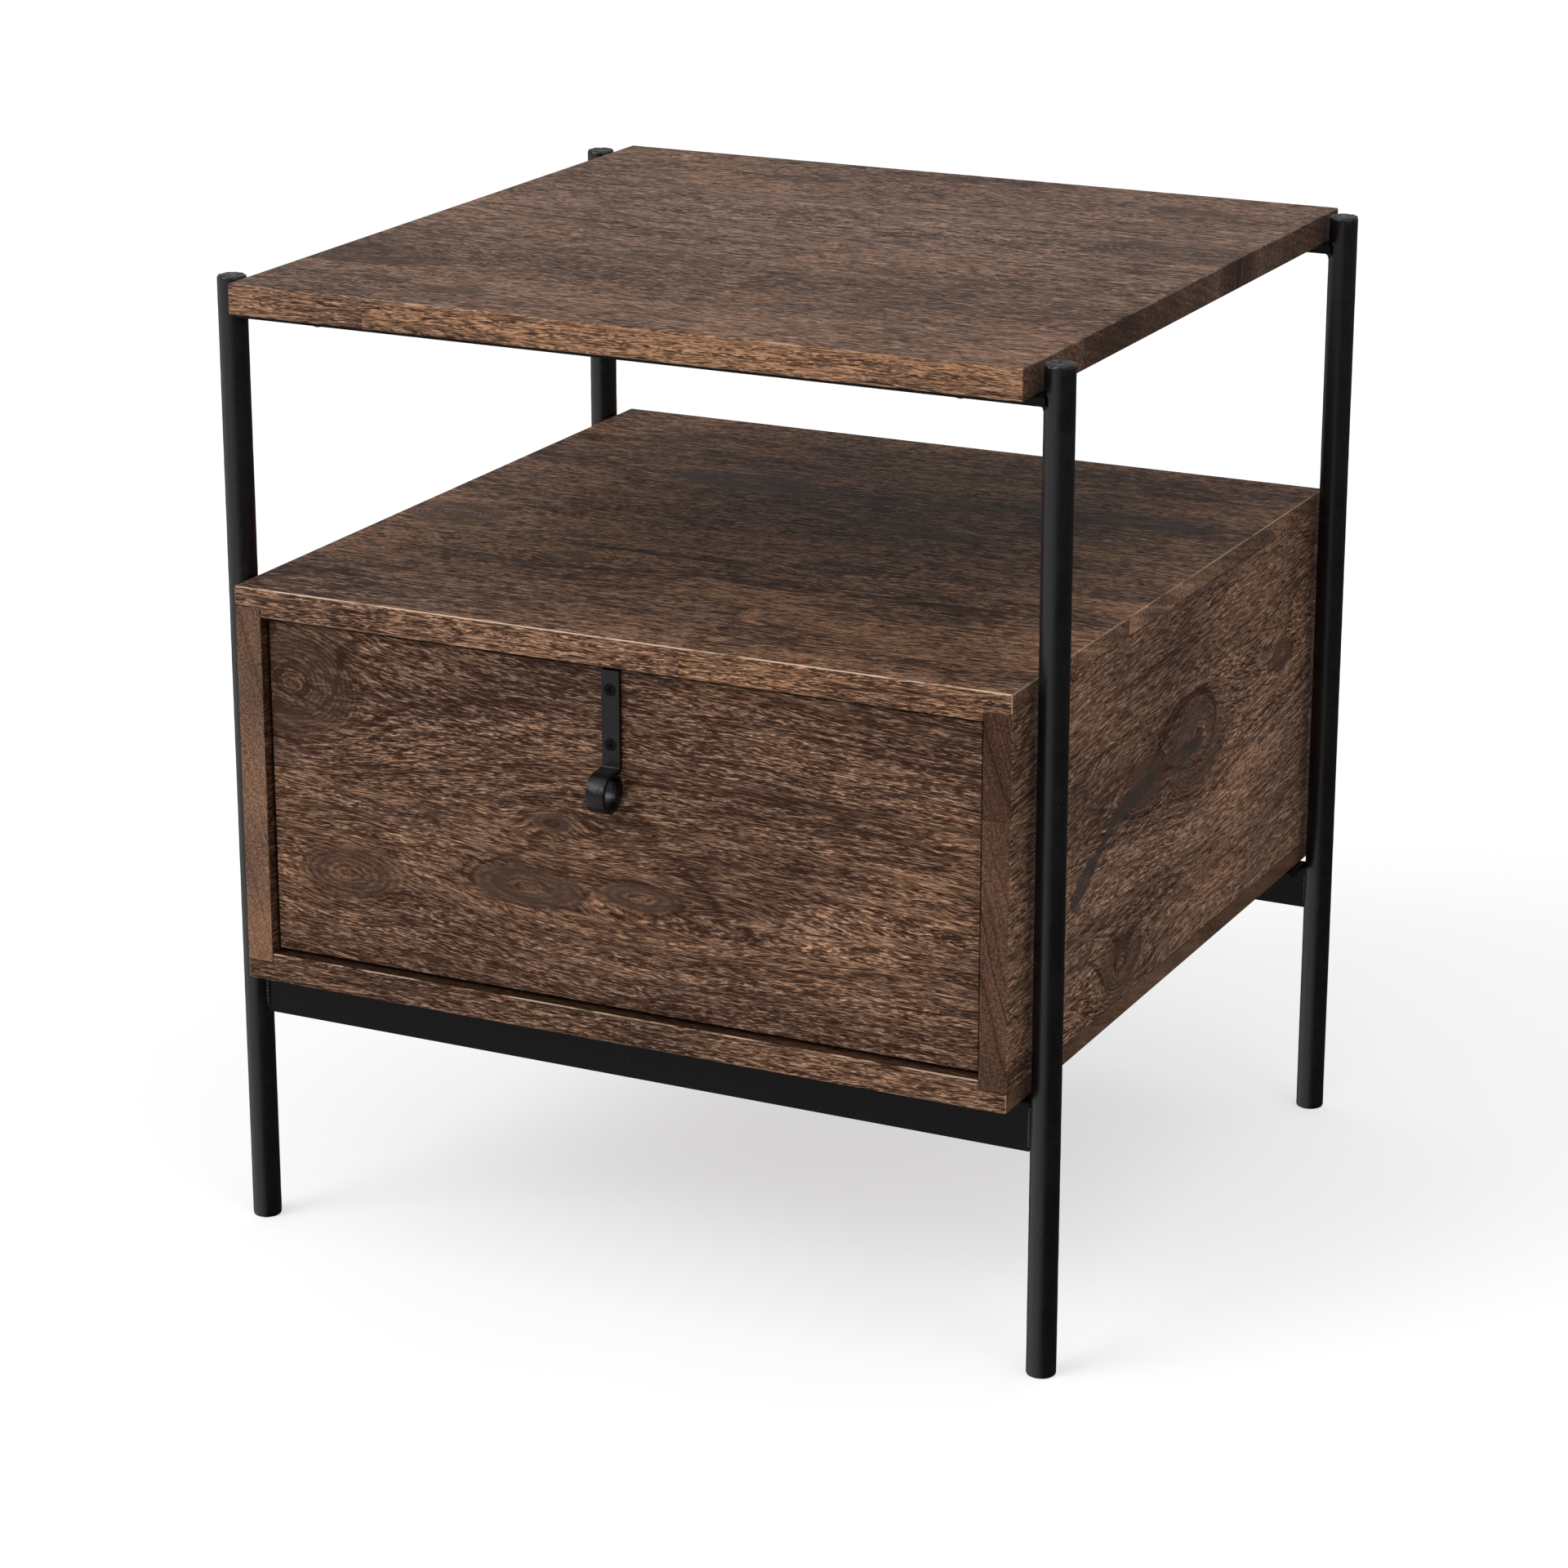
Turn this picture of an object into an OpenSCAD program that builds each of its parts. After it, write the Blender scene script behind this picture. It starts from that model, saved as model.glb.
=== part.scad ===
// Side table with one drawer: a wooden top over an open shelf space and a wooden
// drawer case, carried by two welded frames of round bar, flat bar and angle bar.
// Millimetres. +Z up, the drawer opens towards -Y. The origin is on the floor, under
// the middle of everything, with the pull's loop counted in the depth.

/* [Tabletop] */
// Width of the top, left to right
top_width = 508; // [440:1:560]
// Depth of the top, front to back
top_depth = 508; // [470:1:560]
// Thickness of the top
top_thick = 18.6; // [14:0.2:26]
// Height of the top's upper face above the floor
table_height = 604; // [560:1:700]

/* [Frames] */
// Diameter of the round bar legs
leg_dia = 18; // [14:0.5:24]
// Gap between the end of the top and a leg
leg_gap = 3; // [1:0.5:8]
// Distance between the front and rear legs, centre to centre
leg_spacing = 461; // [400:1:470]
// Rounding of the ground leg ends
leg_end_round = 2.5; // [1:0.5:4]
// Thickness of the flat bars under the top
bar_thick = 5; // [3:0.5:8]
// Width of the flat bars under the top
bar_width = 18; // [14:1:30]
// Outside size of each side of the angle bars under the case
angle_size = 32; // [25:1:40]
// Thickness of the angle bars
angle_thick = 3; // [2:0.5:5]

/* [Drawer case] */
// Width of the case
case_width = 507; // [440:1:507]
// Depth of the case
case_depth = 507; // [480:1:520]
// Height of the case
case_height = 250; // [200:1:300]
// Height of the case's underside above the floor
case_base = 171.5; // [120:0.5:240]
// How far the case's middle stands in front of the top's middle
case_forward = 6.5; // [0:0.5:12]
// Thickness of the case's top and bottom panels
panel_thick = 18; // [14:0.5:22]
// Thickness of the case's side panels
side_thick = 17.5; // [14:0.5:22]
// Part of the top and bottom panels that is cut away to seat the side panels
rabbet_depth = 6; // [4:0.5:8]
// Thickness of the back panel
back_thick = 9; // [6:0.5:12]
// How far the back panel reaches into the rear rabbets
back_lap = 8; // [5:0.5:10]

/* [Drawer] */
// How far the drawer's face sits behind the case's front edge
drawer_recess = 5.3; // [2:0.1:10]
// Gap at the left and right of the drawer front
front_side_gap = 2.5; // [1.5:0.1:4]
// Gap above the drawer front
front_top_gap = 2; // [1.5:0.1:4]
// Gap below the drawer front
front_bottom_gap = 2.8; // [1.5:0.1:4]
// Thickness of the drawer front
front_thick = 18; // [14:0.5:22]
// Thickness of the drawer box's walls
box_wall = 12; // [9:0.5:14]
// Height of the drawer box's walls
box_height = 166; // [120:1:180]
// Length of the drawer box, front to back
box_depth = 445; // [350:1:446]
// Gap between the case floor and the drawer box
box_lift = 10; // [6:1:16]
// Thickness of the drawer's bottom board
bottom_thick = 5; // [4:0.5:8]
// Depth of the groove that holds the bottom board
groove_depth = 5; // [3:0.5:7]
// Height of that groove above the lower edge of the box walls
groove_lift = 8; // [6:1:14]

/* [Drawer runners] */
// Width of a runner between case and drawer box
runner_width = 13; // [12.7:0.1:14]
// Height of a runner
runner_height = 45; // [42:1:50]
// Sheet thickness of the runner members
runner_sheet = 1.2; // [1:0.1:1.4]
// Diameter of the bearing balls
ball_dia = 3; // [2.5:0.1:3.1]
// Number of balls in each row
ball_count = 9; // [4:1:12]
// How far the runners start behind the drawer front
runner_setback = 2.5; // [1:0.5:6]

/* [Pull] */
// Width of the iron strap
strap_width = 11.5; // [9:0.5:20]
// Thickness of the iron strap
strap_thick = 3.2; // [2:0.1:4]
// Outside diameter of the rolled loop
loop_dia = 24.6; // [20:0.2:34]
// Height of the loop's centre above the floor
loop_height = 330; // [300:1:350]
// Distance of the upper pull screw below the strap's top
pull_screw_drop = 12; // [8:0.5:20]
// Distance between the two pull screws
pull_screw_pitch = 33.2; // [25:0.2:45]

/* [Hidden] */
$fn = 48;
joint_eps = 0.01;                 // lets a cutter pass through the face it opens
half_top = top_width / 2;
leg_x = half_top + leg_gap + leg_dia / 2;
leg_y = leg_spacing / 2;
bar_base = table_height - top_thick - bar_thick;
bar_length = 2 * (leg_x - leg_dia / 2);
weld_reach = 4;                   // how far a flat bar's coped end reaches round a leg
angle_outer_y = leg_y + angle_thick;

case_front = -case_depth / 2 - case_forward;
case_rear = case_depth / 2 - case_forward;
case_top_z = case_base + case_height;
inner_width = case_width - 2 * side_thick;
inner_base = case_base + panel_thick;
inner_top = case_top_z - panel_thick;
side_base = case_base + panel_thick - rabbet_depth;
side_height = case_height - 2 * (panel_thick - rabbet_depth);

face_y = case_front + drawer_recess;
front_width = inner_width - 2 * front_side_gap;
front_base = inner_base + front_bottom_gap;
front_height = inner_top - front_top_gap - front_base;
box_front = face_y + front_thick;
box_width = inner_width - 2 * runner_width;
box_base = inner_base + box_lift;
box_inside = box_width - 2 * box_wall;
groove_z = box_base + groove_lift;
runner_length = box_depth - runner_setback;

// Runner cross-section: u runs from the case side (0) to the drawer (runner_width)
runner_z = box_base + box_height / 2;
outer_half = runner_height / 2;
race_gap = ball_dia + 0.5;        // ball and 0.25 clearance to each race
middle_half = outer_half - runner_sheet - race_gap;
inner_half = middle_half - runner_sheet - race_gap;
outer_ball_z = middle_half + race_gap / 2;
inner_ball_z = inner_half + race_gap / 2;
cage_sheet = 0.5;
cage_gap = 0.3;                   // between a cage's web and the members beside it
outer_cage_u = runner_sheet + cage_gap;
middle_u = outer_cage_u + cage_sheet + cage_gap;
inner_cage_u = middle_u + runner_sheet + cage_gap;
inner_u = inner_cage_u + cage_sheet + cage_gap;
cage_length = 190;
cage_tip_u = 9.5;
ball_u = 7;
runner_screw_inset = 40;

// Pull: w runs forward from the drawer's face
strap_top = front_base + front_height;
loop_r = loop_dia / 2;
loop_top = loop_height + loop_r;
bend_inner = 1;
bend_outer = bend_inner + strap_thick;
bend_z = loop_top + bend_inner;
loop_end_angle = 28;              // where the rolled end stops behind the loop

// Screws: head diameter, head height, shank diameter, length under the head
frame_screw = [8.4, 2.6, 4, 14];
back_screw = [6, 2.2, 3, 14];
pull_screw = [7.6, 2.4, 3.6, 14];
runner_screw = [6.4, runner_sheet, 3.4, 10];
front_screw = [7.6, 2.4, 3.8, 22];
screw_tip = 2;
frame_screw_x = 207;
case_screw_y = leg_y - angle_size / 2 + angle_thick;
back_screw_edge = 25;
back_screw_x = 120;
front_screw_x = 150;
front_screw_edge = 35;
shank_clear = 0.3;

// The top's middle stands behind the origin by half of what the pull reaches forward
pull_reach = -face_y + loop_dia;
mid_y = (pull_reach - top_depth / 2) / 2;

wood = [0.42, 0.30, 0.22];
end_wood = [0.36, 0.26, 0.20];
plain_wood = [0.66, 0.52, 0.37];
iron = [0.06, 0.06, 0.065];
zinc = [0.62, 0.63, 0.65];

// ---------- shared shapes ----------

// A block from one corner with its size
module block(corner, size) {
    translate(corner) cube(size);
}

// A block centred on x, standing on z, from y0 towards the rear
module wall(width, y0, depth, z0, height) {
    block([-width / 2, y0, z0], [width, depth, height]);
}

// Screw's shank along +Z from z = 0, ending in a cone
module shank(spec) {
    cylinder(h = spec[3] - screw_tip, d = spec[2]);
    translate([0, 0, spec[3] - screw_tip]) cylinder(h = screw_tip, d1 = spec[2], d2 = spec[2] / 6);
}

// Domed screw head that hangs below z = 0
module dome_head(r, h) {
    dome_h = 0.7 * h;
    dome_r = (r * r + dome_h * dome_h) / (2 * dome_h);
    rotate_extrude() intersection() {
        translate([0, -h]) square([r, h]);
        translate([0, dome_r - h]) circle(r = dome_r);
    }
}

// Pan head screw: head below z = 0, shank up along +Z
module pan_screw(spec) {
    difference() {
        union() {
            dome_head(spec[0] / 2, spec[1]);
            shank(spec);
        }
        cross_recess(spec, -spec[1]);
    }
}

// Countersunk screw: flush head face at z = 0, shank up along +Z
module flat_screw(spec) {
    difference() {
        union() {
            cylinder(h = spec[1], d1 = spec[0], d2 = spec[2]);
            shank(spec);
        }
        cross_recess(spec, 0);
    }
}

// Two crossing slots cut upward into a head face at height z
module cross_recess(spec, z) {
    for (a = [0, 90]) rotate([0, 0, a])
        translate([-spec[0] * 0.27, -spec[0] * 0.055, z - joint_eps])
            cube([spec[0] * 0.54, spec[0] * 0.11, spec[1] * 0.5]);
}

// Round hole along +Z with a little clearance round a screw's shank
module shank_hole(spec, z0, depth) {
    translate([0, 0, z0 - joint_eps])
        cylinder(h = depth + 2 * joint_eps, d = spec[2] + 2 * shank_clear);
}

// Countersink along +Z whose wide end is at z = 0
module sink(spec) {
    translate([0, 0, -joint_eps])
        cylinder(h = spec[1] + joint_eps, d1 = spec[0] + 0.4, d2 = spec[2] + 0.4);
}

// Mirrors its children to the left for side -1, keeps them right for side 1
module on_side(side) {
    mirror([side < 0 ? 1 : 0, 0, 0]) children();
}

// ---------- welded frames ----------

module leg(x, y) {
    edge = leg_end_round;
    color(iron) translate([x, mid_y + y, 0]) rotate_extrude() union() {
        translate([0, edge]) square([leg_dia / 2, table_height - 2 * edge]);
        square([leg_dia / 2 - edge, table_height]);
        for (z = [edge, table_height - edge]) intersection() {
            translate([leg_dia / 2 - edge, z]) circle(r = edge);
            square([leg_dia / 2, table_height]);
        }
    }
}

// Flat bar with its ends coped round two legs, drilled for the tabletop screws
module top_bar(y) {
    color(iron) difference() {
        wall(bar_length + 2 * weld_reach, mid_y + y - bar_width / 2, bar_width, bar_base, bar_thick);
        for (x = [-leg_x, leg_x]) translate([x, mid_y + y, bar_base - joint_eps])
            cylinder(h = bar_thick + 2 * joint_eps, d = leg_dia);
        for (x = [-frame_screw_x, frame_screw_x]) translate([x, mid_y + y, 0])
            shank_hole(frame_screw, bar_base, bar_thick);
    }
}

// Section of the angle bar: corner at the origin, sides along +X and -Y
module angle_section() {
    corner_r = angle_thick;
    difference() {
        union() {
            translate([corner_r, -angle_thick]) square([angle_size - corner_r, angle_thick]);
            translate([0, -angle_size]) square([angle_thick, angle_size - corner_r]);
            intersection() {
                translate([corner_r, -corner_r]) circle(r = corner_r);
                translate([0, -corner_r]) square(corner_r);
            }
            translate([angle_thick, -angle_thick - 2]) square(2);
        }
        translate([angle_thick + 2, -angle_thick - 2]) circle(r = 2);
    }
}

// Angle bar under the case for side -1 (front) or 1 (rear): the upright side faces
// outward, the flat side lies under the case and is drilled for the case screws
module case_rail(side) {
    color(iron) difference() {
        translate([0, mid_y, case_base]) mirror([0, side > 0 ? 1 : 0, 0])
            translate([-bar_length / 2, -angle_outer_y, 0])
                rotate([90, 0, 90]) linear_extrude(bar_length) angle_section();
        for (x = [-frame_screw_x, frame_screw_x])
            translate([x, mid_y + side * case_screw_y, 0])
                shank_hole(frame_screw, case_base - angle_thick, angle_thick);
    }
}

module leg_front_left() { leg(-leg_x, -leg_y); }
module leg_front_right() { leg(leg_x, -leg_y); }
module leg_rear_left() { leg(-leg_x, leg_y); }
module leg_rear_right() { leg(leg_x, leg_y); }
module top_bar_front() { top_bar(-leg_y); }
module top_bar_rear() { top_bar(leg_y); }
module case_rail_front() { case_rail(-1); }
module case_rail_rear() { case_rail(1); }

module tabletop_screws() {
    color(iron) for (x = [-frame_screw_x, frame_screw_x], y = [-leg_y, leg_y])
        translate([x, mid_y + y, bar_base]) pan_screw(frame_screw);
}

module case_screws() {
    color(iron) for (x = [-frame_screw_x, frame_screw_x], y = [-case_screw_y, case_screw_y])
        translate([x, mid_y + y, case_base - angle_thick]) pan_screw(frame_screw);
}

// ---------- top and case ----------

module tabletop() {
    color(wood)
        wall(top_width, mid_y - top_depth / 2, top_depth, table_height - top_thick, top_thick);
}

// Space of the back panel, let into the rear edges of the four case panels
module back_space() {
    wall(inner_width + 2 * back_lap, mid_y + case_rear - back_thick, back_thick + joint_eps,
        inner_base - back_lap, inner_top - inner_base + 2 * back_lap);
}

// Case panel as a full sheet with a narrower step that fits between the sides
module case_panel(full_z, step_z) {
    y0 = mid_y + case_front;
    color(wood) difference() {
        union() {
            wall(case_width, y0, case_depth, full_z, panel_thick - rabbet_depth);
            wall(inner_width, y0, case_depth, step_z, rabbet_depth);
        }
        back_space();
    }
}

module case_side(side) {
    color(end_wood) difference() {
        on_side(side) block([inner_width / 2, mid_y + case_front, side_base],
            [side_thick, case_depth, side_height]);
        back_space();
    }
}

module case_top() { case_panel(inner_top + rabbet_depth, inner_top); }
module case_bottom() { case_panel(case_base, inner_base - rabbet_depth); }
module case_left_side() { case_side(-1); }
module case_right_side() { case_side(1); }

// Places its children at each back panel screw, pointing into the case from behind
module at_back_screws() {
    edge = back_lap / 2;
    x_edge = inner_width / 2 + edge;
    z_mid = (inner_base + inner_top) / 2;
    z_side = [inner_base + back_screw_edge, z_mid, inner_top - back_screw_edge];
    spots = [
        for (x = [-x_edge, x_edge], z = z_side) [x, z],
        for (x = [-back_screw_x, back_screw_x], z = [inner_base - edge, inner_top + edge]) [x, z]
    ];
    for (s = spots) translate([s[0], mid_y + case_rear, s[1]]) rotate([90, 0, 0]) children();
}

module case_back() {
    color(plain_wood) difference() {
        wall(inner_width + 2 * back_lap, mid_y + case_rear - back_thick, back_thick,
            inner_base - back_lap, inner_top - inner_base + 2 * back_lap);
        at_back_screws() union() {
            sink(back_screw);
            shank_hole(back_screw, 0, back_thick);
        }
    }
}

module back_screws() {
    color(zinc) at_back_screws() flat_screw(back_screw);
}

// ---------- drawer ----------

// Places its children at the screws between box front and drawer front, facing forward
module at_front_screws() {
    z_pair = [box_base + front_screw_edge, box_base + box_height - front_screw_edge];
    for (x = [-front_screw_x, front_screw_x], z = z_pair)
        translate([x, mid_y + box_front + box_wall, z]) rotate([90, 0, 0]) children();
}

// Places its children at the two pull screws, pointing back into the drawer
module at_pull_screws() {
    for (i = [0, 1]) {
        z = strap_top - pull_screw_drop - i * pull_screw_pitch;
        translate([0, mid_y + face_y - strap_thick, z]) rotate([-90, 0, 0]) children();
    }
}

module drawer_front() {
    color(wood)
        wall(front_width, mid_y + face_y, front_thick, front_base, front_height);
}

module bottom_space(extra) {
    wall(box_inside + 2 * groove_depth + extra,
        mid_y + box_front + box_wall - groove_depth - extra / 2,
        box_depth - 2 * box_wall + 2 * groove_depth + extra,
        groove_z - extra / 2, bottom_thick + extra);
}

module drawer_side(side) {
    color(plain_wood) difference() {
        on_side(side) block([box_inside / 2, mid_y + box_front, box_base],
            [box_wall, box_depth, box_height]);
        bottom_space(joint_eps);
    }
}

module drawer_left_side() { drawer_side(-1); }
module drawer_right_side() { drawer_side(1); }

module drawer_box_front() {
    color(plain_wood) difference() {
        wall(box_inside, mid_y + box_front, box_wall, box_base, box_height);
        bottom_space(joint_eps);
        at_front_screws() union() {
            sink(front_screw);
            shank_hole(front_screw, 0, box_wall);
        }
    }
}

module drawer_box_back() {
    color(plain_wood) difference() {
        wall(box_inside, mid_y + box_front + box_depth - box_wall, box_wall, box_base, box_height);
        bottom_space(joint_eps);
    }
}

module drawer_bottom() {
    color(plain_wood) bottom_space(0);
}

module drawer_front_screws() {
    color(zinc) at_front_screws() flat_screw(front_screw);
}

// Strap, bend and rolled loop as one strip, drawn in w (forward) and z
module strap_section() {
    difference() {
        union() {
            translate([0, bend_z]) square([strap_thick, strap_top - bend_z]);
            translate([bend_outer, loop_top - strap_thick])
                square([loop_r - bend_outer, strap_thick]);
            intersection() {
                translate([bend_outer, bend_z]) circle(r = bend_outer);
                translate([0, loop_top - strap_thick]) square(bend_outer);
            }
        }
        translate([bend_outer, bend_z]) circle(r = bend_inner);
    }
    difference() {
        translate([loop_r, loop_height]) circle(r = loop_r);
        translate([loop_r, loop_height]) circle(r = loop_r - strap_thick);
        translate([loop_r, loop_height]) polygon([
            [0, 0],
            [-2 * loop_r, 2 * loop_r * tan(loop_end_angle)],
            [-2 * loop_r, 2 * loop_r],
            [0, 2 * loop_r]
        ]);
    }
}

module pull_strap() {
    color(iron) difference() {
        translate([strap_width / 2, mid_y + face_y, 0])
            rotate([90, 0, -90]) linear_extrude(strap_width) strap_section();
        at_pull_screws() union() {
            sink(pull_screw);
            shank_hole(pull_screw, 0, strap_thick);
        }
    }
}

module pull_screws() {
    color(iron) at_pull_screws() flat_screw(pull_screw);
}

// ---------- drawer runners ----------

// Moves to the runner's front end for side -1 or 1, at u behind the case side and y back
module at_runner(side, u, y, z) {
    on_side(side)
        translate([inner_width / 2 - u, mid_y + box_front + runner_setback + y, runner_z + z])
            children();
}

// Extrudes a (u, z) section along the runner, starting y0 behind its front end
module along_runner(side, y0, length) {
    at_runner(side, 0, y0, 0) rotate([90, 0, 180]) linear_extrude(length) children();
}

// Channel section with its web at u0 and its open side towards the drawer
module channel(u0, depth, half, sheet) {
    translate([u0, -half]) square([sheet, 2 * half]);
    for (z = [-half, half - sheet]) translate([u0, z]) square([depth, sheet]);
}

// Places its children at the runner's screws, pointing towards +u
module at_runner_screws(side, u) {
    for (y = [runner_screw_inset, runner_length / 2, runner_length - runner_screw_inset])
        at_runner(side, u, y, 0) rotate([0, -90, 0]) children();
}

// Countersunk hole through a member's web, wide end first along +Z
module runner_hole() {
    sink(runner_screw);
    shank_hole(runner_screw, 0, runner_sheet);
}

module runner_case(side) {
    color(zinc) difference() {
        along_runner(side, 0, runner_length)
            channel(0, runner_width - 1, outer_half, runner_sheet);
        at_runner_screws(side, runner_sheet) rotate([180, 0, 0]) runner_hole();
    }
}

module runner_middle(side) {
    color(zinc) along_runner(side, 0, runner_length)
        channel(middle_u, runner_width - middle_u - 1.5, middle_half, runner_sheet);
}

module runner_drawer(side) {
    color(zinc) difference() {
        along_runner(side, 0, runner_length) translate([runner_width, 0]) mirror([1, 0])
            channel(0, runner_width - inner_u, inner_half, runner_sheet);
        at_runner_screws(side, runner_width - runner_sheet) runner_hole();
    }
}

// Ball cage: a thin channel with a row of ball holes in each of its two strips
module cage(side, cage_u, ball_z) {
    color(zinc) difference() {
        along_runner(side, (runner_length - cage_length) / 2, cage_length)
            channel(cage_u, cage_tip_u - cage_u, ball_z + cage_sheet / 2, cage_sheet);
        at_balls(side, ball_z) cylinder(h = 4 * cage_sheet, d = ball_dia + 0.1, center = true);
    }
}

// Places its children at every ball of the upper and lower row
module at_balls(side, ball_z) {
    step = cage_length / ball_count;
    y0 = (runner_length - cage_length) / 2;
    for (i = [0 : ball_count - 1], z = [-ball_z, ball_z])
        at_runner(side, ball_u, y0 + step * (i + 0.5), z) children();
}

module balls(side, ball_z) {
    color(zinc) at_balls(side, ball_z) sphere(d = ball_dia);
}

module runner_case_left() { runner_case(-1); }
module runner_case_right() { runner_case(1); }
module runner_middle_left() { runner_middle(-1); }
module runner_middle_right() { runner_middle(1); }
module runner_drawer_left() { runner_drawer(-1); }
module runner_drawer_right() { runner_drawer(1); }
module outer_cage_left() { cage(-1, outer_cage_u, outer_ball_z); }
module outer_cage_right() { cage(1, outer_cage_u, outer_ball_z); }
module inner_cage_left() { cage(-1, inner_cage_u, inner_ball_z); }
module inner_cage_right() { cage(1, inner_cage_u, inner_ball_z); }
module outer_balls_left() { balls(-1, outer_ball_z); }
module outer_balls_right() { balls(1, outer_ball_z); }
module inner_balls_left() { balls(-1, inner_ball_z); }
module inner_balls_right() { balls(1, inner_ball_z); }

module runner_case_screws() {
    color(zinc) for (side = [-1, 1])
        at_runner_screws(side, runner_sheet) rotate([180, 0, 0]) flat_screw(runner_screw);
}

module runner_drawer_screws() {
    color(zinc) for (side = [-1, 1])
        at_runner_screws(side, runner_width - runner_sheet) flat_screw(runner_screw);
}

tabletop();
leg_front_left();
leg_front_right();
leg_rear_left();
leg_rear_right();
top_bar_front();
top_bar_rear();
case_rail_front();
case_rail_rear();
tabletop_screws();
case_screws();
case_top();
case_bottom();
case_left_side();
case_right_side();
case_back();
back_screws();
drawer_front();
drawer_left_side();
drawer_right_side();
drawer_box_front();
drawer_box_back();
drawer_bottom();
drawer_front_screws();
pull_strap();
pull_screws();
runner_case_left();
runner_case_right();
runner_middle_left();
runner_middle_right();
runner_drawer_left();
runner_drawer_right();
outer_cage_left();
outer_cage_right();
inner_cage_left();
inner_cage_right();
outer_balls_left();
outer_balls_right();
inner_balls_left();
inner_balls_right();
runner_case_screws();
runner_drawer_screws();
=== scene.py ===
import math
from dataclasses import dataclass

import bmesh
import bpy
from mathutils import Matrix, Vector, noise


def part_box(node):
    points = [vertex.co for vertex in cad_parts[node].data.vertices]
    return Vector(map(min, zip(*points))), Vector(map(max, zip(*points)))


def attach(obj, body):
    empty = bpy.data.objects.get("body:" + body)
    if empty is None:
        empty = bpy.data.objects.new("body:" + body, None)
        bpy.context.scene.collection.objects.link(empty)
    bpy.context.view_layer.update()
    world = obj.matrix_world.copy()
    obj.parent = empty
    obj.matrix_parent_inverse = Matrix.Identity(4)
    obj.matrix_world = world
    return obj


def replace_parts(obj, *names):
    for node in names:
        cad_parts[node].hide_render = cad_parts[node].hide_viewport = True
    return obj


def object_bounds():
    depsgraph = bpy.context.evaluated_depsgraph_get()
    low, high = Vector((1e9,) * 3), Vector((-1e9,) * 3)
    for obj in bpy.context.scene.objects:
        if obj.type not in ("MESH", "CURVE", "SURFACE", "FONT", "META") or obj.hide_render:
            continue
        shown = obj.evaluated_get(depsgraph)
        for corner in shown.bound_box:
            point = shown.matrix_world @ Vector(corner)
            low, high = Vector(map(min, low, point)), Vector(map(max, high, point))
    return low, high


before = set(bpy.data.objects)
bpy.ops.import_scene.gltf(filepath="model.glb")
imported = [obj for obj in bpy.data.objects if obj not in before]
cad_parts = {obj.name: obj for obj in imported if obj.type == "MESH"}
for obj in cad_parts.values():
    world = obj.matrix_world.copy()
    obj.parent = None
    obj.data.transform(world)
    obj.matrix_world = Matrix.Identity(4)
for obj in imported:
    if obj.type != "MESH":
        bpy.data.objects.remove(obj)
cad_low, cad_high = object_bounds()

MM = 0.001

# ---------------------------------------------------------------------------
# View
# ---------------------------------------------------------------------------
# Direction from the table to the camera, in degrees.
CAMERA_AZIMUTH = 26.1
CAMERA_ELEVATION = 18.19
# Distance from the aim point, in metres, and the lens and sensor, in millimetres.
CAMERA_DISTANCE = 2.9
CAMERA_LENS = 103.9
CAMERA_SENSOR = 36.0
CAMERA_FAR = 100.0
# The aim point, from the middle of the table's box, in metres.
AIM_OFFSET = Vector((-0.0215, 0.0272, -0.053))


def direction(azimuth, elevation):
    """Unit vector from the table towards a place round it."""
    a = math.radians(azimuth)
    e = math.radians(elevation)
    return Vector((math.sin(a) * math.cos(e), -math.cos(a) * math.cos(e), math.sin(e)))


def look_at(thing, place, target):
    """Puts a camera or a lamp at place, turned towards target."""
    thing.location = place
    thing.rotation_euler = (target - place).to_track_quat("-Z", "Y").to_euler()


def add_object(name, data):
    """A new object in the scene."""
    thing = bpy.data.objects.new(name, data)
    bpy.context.scene.collection.objects.link(thing)
    return thing


def make_camera():
    camera = add_object("camera", bpy.data.cameras.new("camera"))
    camera.data.lens = CAMERA_LENS
    camera.data.sensor_width = CAMERA_SENSOR
    camera.data.clip_end = CAMERA_FAR
    aim = (cad_low + cad_high) / 2 + AIM_OFFSET
    look_at(camera, aim + direction(CAMERA_AZIMUTH, CAMERA_ELEVATION) * CAMERA_DISTANCE, aim)
    bpy.context.scene.camera = camera


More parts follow.
